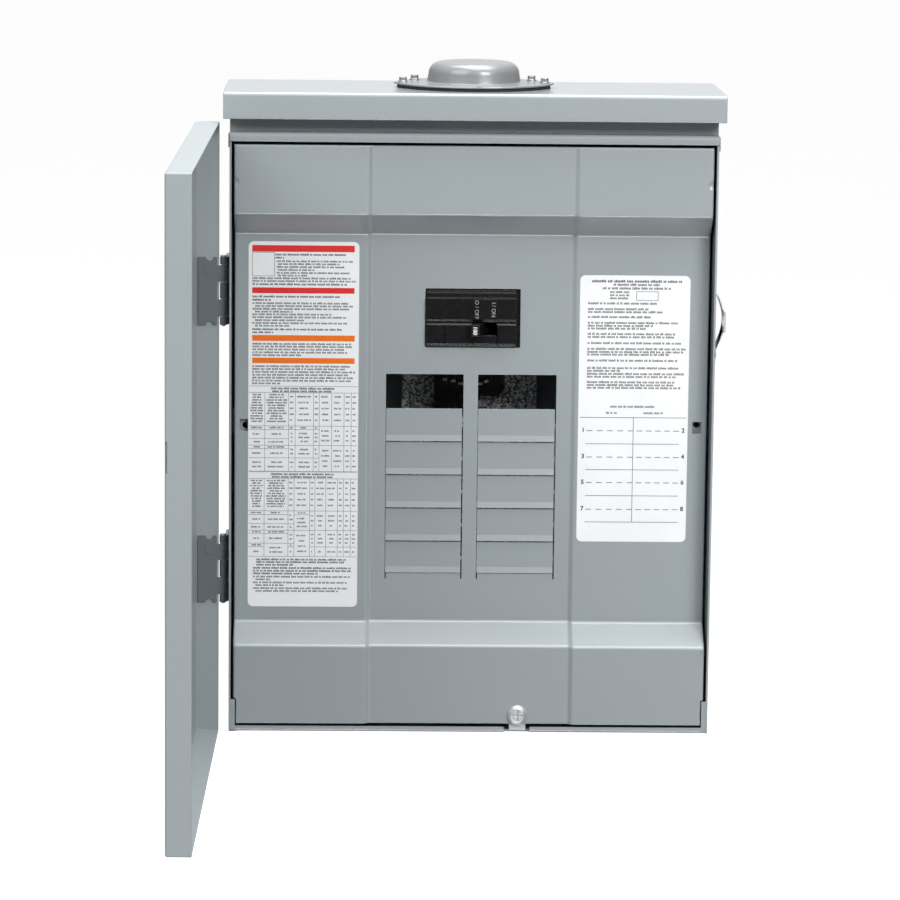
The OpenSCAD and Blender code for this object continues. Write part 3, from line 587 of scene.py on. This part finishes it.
def figures(name, body, items, paint, slot, depth=0.03, bold=0.0):
    """Generic figures and marks as thin solids. items: (text, height in mm, place)."""
    made = []
    for text, height, place in items:
        curve = bpy.data.curves.new(name + "_source", "FONT")
        curve.body = text
        curve.size = height / 0.72 * MM
        curve.align_x = "CENTER"
        curve.align_y = "CENTER"
        curve.extrude = depth / 2 * MM
        curve.offset = bold * MM
        curve.resolution_u = 6
        source = bpy.data.objects.new(name + "_source", curve)
        collection.objects.link(source)
        bpy.context.view_layer.update()
        mesh = bpy.data.meshes.new_from_object(source.evaluated_get(bpy.context.evaluated_depsgraph_get()))
        mesh.transform(place)
        made.append(mesh)
        bpy.data.objects.remove(source)
    bm = bmesh.new()
    for mesh in made:
        bm.from_mesh(mesh)
        bpy.data.meshes.remove(mesh)
    bmesh.ops.remove_doubles(bm, verts=bm.verts, dist=1e-6)
    ob = new_object(name, bm, smooth=False)
    return settle(ob, body, slot, paint=paint)


def build_info_label():
    """The long label: heading bars, a box, lines of print, and two ruled tables of plain ticks."""
    s = Sticker("info_label")
    rng = random.Random(11)
    left, right = 2.7, 79.1
    s.bar(left, right, 2.8, 7.7, "red")
    s.bar(left, right, 34.6, 38.9, "red")
    s.bar(left + 0.2, right + 0.4, 70.5, 74.9, "orange")
    s.bar(left + 0.2, right + 0.4, 87.6, 91.8, "orange")
    s.frame(2.8, 19.4, 8.2, 25.9)
    for v, u0, u1, heavy in (
            (9.9, 20, 74, 1), (12.2, 20, 27, 1), (14.9, 21, 78, 0), (17.0, 22, 69, 0), (19.2, 21, 73, 0),
            (21.4, 22, 49, 0), (23.6, 21, 77, 0), (25.6, 22, 44, 0), (27.7, 3, 76, 0), (29.8, 3, 80, 0),
            (32.2, 3, 74, 1), (41.5, 3, 69, 1), (44.0, 3, 18, 1), (46.5, 3, 76, 0), (48.6, 5, 79, 0),
            (50.8, 3, 77, 0), (52.9, 5, 33, 0), (54.9, 3, 63, 0), (57.1, 3, 73, 0), (59.3, 5, 43, 0),
            (61.5, 3, 74, 0), (63.5, 5, 31, 0), (66.2, 3, 70, 1), (68.5, 3, 19, 1), (77.2, 3, 77, 0),
            (79.2, 3, 78, 0), (81.4, 3, 73, 0), (83.6, 3, 74, 0), (85.7, 3, 40, 0), (94.1, 3, 77, 0),
            (96.2, 3, 74, 0), (98.4, 3, 80, 0), (100.6, 3, 75, 0), (102.8, 3, 79, 0), (105.0, 3, 77, 0),
            (107.1, 3, 24, 0)):
        s.words(rng, u0, u1, v, 1.05, bool(heavy))

    def table(top, title_end, header_end, end, columns, groups):
        """A ruled table. groups: (column, heights of the lines that split it)."""
        s.across(0.6, 82.0, top)
        s.centred(rng, 0, 82, top + 1.8, 0.58, 1.1, True)
        s.centred(rng, 0, 82, top + 3.9, 0.56, 1.1, True)
        for v in (title_end, header_end, end):
            s.across(0.6, 82.0, v)
        for u in columns[1:-1]:
            s.down(u, title_end, end)
        spans = list(zip(columns, columns[1:]))
        for k, (a, b) in enumerate(spans):
            lines = 11 if k < 2 else 5
            start = title_end + (1.6 if k < 2 else 3.0)
            for i in range(lines):
                if b - a > 3:
                    s.centred(rng, a + 0.6, b - 0.6, start + i * (header_end - title_end - 3) / lines,
                              rng.uniform(0.55, 0.95), 0.9, k < 2 or i % 3 == 0)
        for k, splits in groups:
            a, b = spans[k]
            previous = header_end
            for v in splits + [end]:
                if v < end:
                    s.across(a, b, v)
                rows = max(1, min(4, int((v - previous) / 4)))
                for i in range(rows):
                    at = previous + (v - previous) * (i + 1) / (rows + 1)
                    s.centred(rng, a + 0.6, b - 0.6, at, rng.uniform(0.4, 0.85), 0.95)
                previous = v

    table(109.1, 114.0, 139.3, 173.8, [0.6, 12.5, 30.4, 35.3, 49.0, 53.3, 62.6, 71.9, 77.3, 82.0],
          [(0, [142, 149, 154, 156.6, 163.6]), (1, [142, 149, 154, 156.6, 163.6]), (2, [142, 154, 163.6]),
           (3, [142, 154, 163.6]), (4, [142, 154, 163.6]), *((k, [154]) for k in range(5, 9))])
    table(174.3, 179.4, 204.1, 239.1, [0.6, 12.2, 30.2, 34.7, 46.5, 50.4, 58.6, 67.4, 71.9, 77.2, 82.0],
          [(0, [207, 214, 219, 221.4, 229, 231.6]), (1, [207, 214, 219, 221.4, 229]),
           (2, [214, 219, 229, 231.6]), (3, [207, 219]), *((k, [219, 231.6]) for k in range(4, 10))])
    for v, u0, u1, heavy in ((241.5, 6.5, 74, 1), (243.5, 6.5, 74, 1), (245.6, 6.5, 34, 1), (248.0, 4, 78, 1),
                             (250.2, 4, 78, 1), (252.3, 4, 53, 1), (254.7, 4, 77, 0), (256.8, 6, 17, 0),
                             (259.2, 4, 75, 0), (261.3, 6, 27, 0), (263.6, 4, 75, 0), (265.7, 6, 69, 0)):
        s.words(rng, u0, u1, v, 1.05, bool(heavy))
    s.done({"black": INK_BLACK, "red": INK_RED, "orange": INK_ORANGE})


def build_directory_label():
    """The circuit directory: lines of print above a numbered form."""
    s = Sticker("directory_label")
    rng = random.Random(23)
    s.words(rng, 8.8, 77, 4.5, 1.35, True)
    s.words(rng, 25, 60, 7.1, 1.3)
    s.words(rng, 17, 68, 9.8, 1.3)
    s.frame(42.4, 58.5, 12.1, 18.7, 0.35)
    for v in (12.6, 15.0, 17.3):
        s.words(rng, 22.5, 37, v, 1.15)
    for v, u1 in ((21.2, 58), (25.5, 52), (27.7, 62), (31.5, 54), (35.9, 74), (38.1, 55), (40.2, 50),
                  (44.3, 72), (46.6, 71), (51.2, 78), (55.6, 80), (57.9, 80), (59.9, 68), (64.4, 76),
                  (70.1, 77), (72.2, 31), (74.5, 79), (76.7, 73), (80.8, 74), (83.0, 71), (85.1, 77)):
        s.words(rng, 6.2, u1, v, 1.2)
    s.words(rng, 24, 59, 99.4, 1.1)
    s.words(rng, 21, 29, 104.2, 1.1)
    s.words(rng, 49, 64, 104.2, 1.1)
    s.across(1.2, 81.4, 107.6, 0.4)
    s.down(41.6, 107.6, 187.6, 0.4)
    for v in (127.7, 147.4, 167.3, 187.5):
        s.across(6.1, 76.2, v, 0.4)
    for v in (117.7, 137.8, 157.3, 177.8):
        for k in range(5):
            s.across(6.6 + 7.7 * k, 10.9 + 7.7 * k, v, 0.5)
            s.across(44.2 + 6.9 * k, 48.6 + 6.9 * k, v, 0.5)
    s.done({"black": INK_BLACK})
    numbers = []
    for k, v in enumerate((117.3, 137.3, 157.0, 177.3)):
        for n, u in ((2 * k + 1, 3.9), (2 * k + 2, 79.2)):
            numbers.append((str(n), 3.3, facing((s.x0 + u, s.front + 0.045, s.z1 - v))))
    figures("directory_numbers", "enclosure", numbers, INK_BLACK, "label", bold=0.16)


# ---------- the pieces ----------

def at(value, target):
    """True for a coordinate in mm that is on the target."""
    return abs(value - target) < 0.02


refine("back_shell", "enamel", 0.35, rounds=[
    (lambda p: at(abs(p.x), 181) and at(p.y, 0), 2.4, 5),
    (lambda p: at(abs(p.x), 179.5) and at(p.y, -1.5), 0.9, 3)])
refine("top_wall", "enamel", 0.3)
refine("rain_rail", "enamel", 0.35)
refine("roof_cap", "enamel", 0.3, rounds=[
    (lambda p: at(abs(p.x), 185.5) and at(p.z, 242), 2.2, 5),
    (lambda p: at(abs(p.x), 185.5) and p.y < -111, 0.9, 3)])
refine("bottom_wall", "enamel", 0.1)
refine("hub_gasket", "gasket", 0.3)
refine("hub_plate", "cast_plate", 0.7, 3)
refine("hub_screws", "zinc", 0.25, paint=DARK_ZINC)
build_inner_cover()
refine("twistout_plates", "enamel", 0.18, crisp=8)
refine("cover_brackets", "enamel", 0.25)
refine("cover_screw_bracket", "zinc", 0.25)
refine("cover_screw", "zinc", 0.25)
build_info_label()
build_directory_label()

HINGE = Vector((-185.5, -93.0, 0.0))  # a point on the hinge line, in mm
# From the door as it hangs shut to the door as drawn, 91 degrees open
OPENED = Matrix.Translation(HINGE) @ Matrix.Rotation(math.radians(-91), 4, "Z") @ Matrix.Translation(-HINGE)
DOOR_HALF = 185.15
DOOR_Z = (-243.4, 218.4)
DOOR_Y = -114.2
DOOR_DEEP = 18.0
DOOR_BEND = 1.7
DOOR_CORNER = 1.4
PULL_SLOT = (18.0, 40.0)


def build_door():
    """The door pan: a front sheet whose edges are turned back over a bend, with a finger slot in one bend."""
    def loop(inset, depth):
        """One ring of points, inset from the pan's outline and this far behind its front."""
        r = max(DOOR_CORNER - inset, 0.15)
        x0, x1 = -DOOR_HALF + inset, DOOR_HALF - inset
        z0, z1 = DOOR_Z[0] + inset, DOOR_Z[1] - inset
        points = []
        for cx, cz, start in ((x1 - r, z0 + r, -90), (x1 - r, z1 - r, 0),
                              (x0 + r, z1 - r, 90), (x0 + r, z0 + r, 180)):
            for k in range(5):
                a = math.radians(start + 22.5 * k)
                points.append((cx + r * math.cos(a), cz + r * math.sin(a)))
            if start == -90:
                points += [(x1, z) for z in PULL_SLOT]
        return [bm.verts.new((OPENED @ Vector((x, DOOR_Y + depth, z))) * MM) for x, z in points]

    bm = bmesh.new()
    bend = [(DOOR_BEND * (1 - math.sin(a)), DOOR_BEND * (1 - math.cos(a)))
            for a in (math.radians(15 * k) for k in range(7))]
    loops = [loop(*step) for step in [(2.4, 0.0), *bend, (0.0, DOOR_DEEP)]]
    bm.faces.new(loops[0])
    slot_side = 5  # the first corner's five points come before the slot's two
    for i, (inner, outer) in enumerate(zip(loops, loops[1:])):
        for j in range(len(inner)):
            if j == slot_side and i < len(loops) - 2:
                continue
            k = (j + 1) % len(inner)
            bm.faces.new((inner[j], outer[j], outer[k], inner[k]))
    ob = new_object("door_panel_formed", bm)
    thicken(ob)
    finish_edges(ob, 0.2, 2, 50)
    settle(ob, "door", "door_enamel", "door_panel")


build_door()
# the hinges and rivets wear the darker hinge enamel, which is painted shade
for n in ("box_hinge_upper", "box_hinge_lower"):
    refine(n, "enamel", 0.25, paint=SHADED_HINGE_ENAMEL)
for n in ("door_hinge_upper", "door_hinge_lower"):
    refine(n, "door_enamel", 0.25, paint=SHADED_HINGE_ENAMEL)
refine("door_hinge_rivets", "door_enamel", 0.12, paint=SHADED_HINGE_ENAMEL)
for n in ("hinge_pin_upper", "hinge_pin_lower", "door_latch", "latch_rivets"):
    refine(n, "zinc", 0.2)
for n, slot, width in (
        ("pan_standoffs", "zinc", 0.25), ("interior_pan", "galvanised", 0.3), ("pan_screws", "zinc", 0.2),
        ("bus_base", "black_plastic", 0.5), ("bus_cover", "black_plastic", 0.6),
        ("bus_bar_left", "tin", 0.3), ("bus_bar_right", "tin", 0.3),
        ("neutral_insulator", "cream_plastic", 0.5), ("neutral_bar", "tin", 0.4),
        ("neutral_screws", "zinc", 0.2), ("neutral_lug", "tin", 0.5),
        ("ground_bar", "tin", 0.4), ("ground_screws", "green_screw", 0.2), ("bonding_strap", "copper", 0.3),
        ("breaker_base", "black_plastic", 0.5), ("breaker_cover", "black_plastic", 0.5),
        ("breaker_handle", "black_plastic", 0.5), ("handle_pin", "zinc", 0.15),
        ("contact_arms", "copper", 0.3), ("contact_shaft", "brown_plastic", 0.2),
        ("contact_pin", "zinc", 0.15), ("fixed_contacts", "copper", 0.2),
        ("arc_chutes", "arc_steel", 0.15), ("bimetals", "bimetal", 0.15),
        ("load_terminals", "tin", 0.25), ("line_lugs", "tin", 0.4), ("lug_screws", "zinc", 0.15)):
    refine(n, slot, width)

# places pressed into the inner cover: odd on the left, even on the right
figures("row_numbers", "enclosure",
        [(str(2 * k + 1 + side), 3.2, facing((-70.0 + 138.6 * side, SUNK_Y, ROW_TOP - PITCH * (k + 0.5))))
         for k in range(ROWS) for side in (0, 1)],
        MATERIALS["enamel"], "enamel", 0.36)
# off and on beside the handle, and the ampere number on its end
QUARTER = math.radians(90)
figures("breaker_marks", "enclosure",
        [("O / OFF", 3.0, facing((3.3, -86.0, 78.3), QUARTER)),
         ("I / ON", 3.0, facing((15.9, -86.0, 78.3), QUARTER))],
        INK_GREY, "black_plastic")
HANDLE_TURN = math.radians(-14)  # the handle's lean to the left when off
figures("handle_number", NODE_BODY["breaker_handle"],
        [("100", 3.1, facing((2.04, -95.12, 63.75), QUARTER, HANDLE_TURN))],
        INK_WHITE, "black_plastic", bold=0.1)


# ---------- studio ----------

FLOOR_Z = -0.9


def build_studio():
    """A pale floor well below the wall-hung box, a soft sky with a few patches, and softboxes."""
    bm = bmesh.new()
    bmesh.ops.create_grid(bm, x_segments=1, y_segments=1, size=40)
    floor = new_object("studio_floor", bm, smooth=False)
    floor.location = (0, 0, FLOOR_Z)
    p = Paint("studio_floor_paint", (0.96, 0.96, 0.96), 0.8, Emission_Strength=0.45)
    p.bsdf.inputs["Emission Color"].default_value = (1, 1, 1, 1)
    p.color(p.speckle(p.noise(2.0, 2), 0.955, 0.965))
    floor.data.materials.append(p.material)
    floor.visible_diffuse = False
    floor.visible_glossy = False

    world = bpy.data.worlds.new("studio")
    scene.world = world
    world.use_nodes = True
    tree = world.node_tree
    background = tree.nodes["Background"]
    direction = tree.nodes.new("ShaderNodeTexCoord").outputs["Generated"]

    def along(axis):
        """How far the ray points along an axis, -1 to 1."""
        n = tree.nodes.new("ShaderNodeVectorMath")
        n.operation = "DOT_PRODUCT"
        n.inputs[1].default_value = axis
        tree.links.new(direction, n.inputs[0])
        return n.outputs["Value"]

    def combine(operation, a, b):
        """The sum or product of two values or sockets."""
        n = tree.nodes.new("ShaderNodeMath")
        n.operation = operation
        for socket, value in zip(n.inputs, (a, b)):
            if isinstance(value, float):
                socket.default_value = value
            else:
                tree.links.new(value, socket)
        return n.outputs["Value"]

    # bright above and below, dim all round the horizon
    up = along((0.0, 0.0, 1.0))
    level = combine("ADD", combine("MULTIPLY", combine("MULTIPLY", up, up), 0.60), 0.27)

    def patch(axis, edge, core, outside, inside):
        """A soft-edged patch of sky round an axis; edge and core are cosines."""
        n = tree.nodes.new("ShaderNodeMapRange")
        n.interpolation_type = "SMOOTHSTEP"
        for key, value in (("From Min", edge), ("From Max", core), ("To Min", outside), ("To Max", inside)):
            n.inputs[key].default_value = value
        tree.links.new(along(axis), n.inputs["Value"])
        return n.outputs["Result"]

    # a bright backdrop just above the horizon behind, which the roof reflects
    level = combine("ADD", level, patch((0.0, 0.96, 0.28), 0.91, 0.97, 0.0, 0.42))
    # a dark patch low in front, which the glossy black parts reflect
    level = combine("MULTIPLY", level, patch((0.0, -0.97, -0.24), 0.72, 0.95, 1.0, 0.15))
    # the right side of the studio is dim, so that the open door's inner face stays dark
    level = combine("MULTIPLY", level, patch((0.98, 0.0, -0.2), 0.25, 0.85, 1.0, 0.12))
    tree.links.new(level, background.inputs["Color"])
    background.inputs["Strength"].default_value = 1.0

    def softbox(name, place, target, size, watts):
        """A rectangular soft light, in metres, that faces its target."""
        light = bpy.data.lights.new(name, "AREA")
        light.shape = "RECTANGLE"
        light.size, light.size_y = size
        light.energy = watts
        ob = bpy.data.objects.new(name, light)
        collection.objects.link(ob)
        ob.location = place
        ob.rotation_euler = (Vector(target) - Vector(place)).to_track_quat("-Z", "Y").to_euler()

    softbox("key_right", (1.05, -1.95, 1.35), (0, 0, 0), (0.9, 0.9), 40)
    softbox("fill_left", (-1.6, -1.8, 1.9), (0, 0, 0), (2.0, 1.8), 44)
    softbox("overhead", (0.1, 0.15, 2.2), (0, 0.1, 0), (2.2, 1.4), 66)
    softbox("low_front", (0, -1.7, -1.9), (0, 0, 0), (2.0, 0.5), 42)
    # narrow strips that draw the light lines along bends and edges
    softbox("strip_right", (1.15, -2.4, -0.43), (0, 0, 0), (0.14, 1.3), 5)
    softbox("strip_left", (-1.15, -2.5, -0.43), (0, 0, 0), (0.1, 1.3), 1)
    softbox("strip_low", (0, -2.3, -1.2), (0, 0, 0), (1.8, 0.14), 4)
    softbox("strip_high", (0, -2.6, 0.55), (0, 0, 0), (1.8, 0.16), 0.8)


CAMERA_PLACE = (-0.0902, -3.2404, 0.5073)
CAMERA_TURN = (-0.023681, 0.168105, 0.010952)  # yaw, pitch and roll in radians
LENS = 170.3
SENSOR = 36


def build_camera():
    """The photograph's viewing angle: about 9.6 degrees down, from 3.2 m with a long lens."""
    yaw, pitch, roll = CAMERA_TURN
    forward = Vector((-math.sin(yaw) * math.cos(pitch), math.cos(yaw) * math.cos(pitch), -math.sin(pitch)))
    right = Vector((math.cos(yaw), math.sin(yaw), 0))
    up = right.cross(forward)
    right2 = math.cos(roll) * right + math.sin(roll) * up
    up2 = -math.sin(roll) * right + math.cos(roll) * up
    data = bpy.data.cameras.new("camera")
    data.sensor_width = SENSOR
    data.lens = LENS
    camera = bpy.data.objects.new("camera", data)
    collection.objects.link(camera)
    m = Matrix((right2, up2, -forward)).transposed().to_4x4()
    m.translation = Vector(CAMERA_PLACE)
    camera.matrix_world = m
    scene.camera = camera


build_studio()
build_camera()
scene.view_settings.view_transform = "Standard"
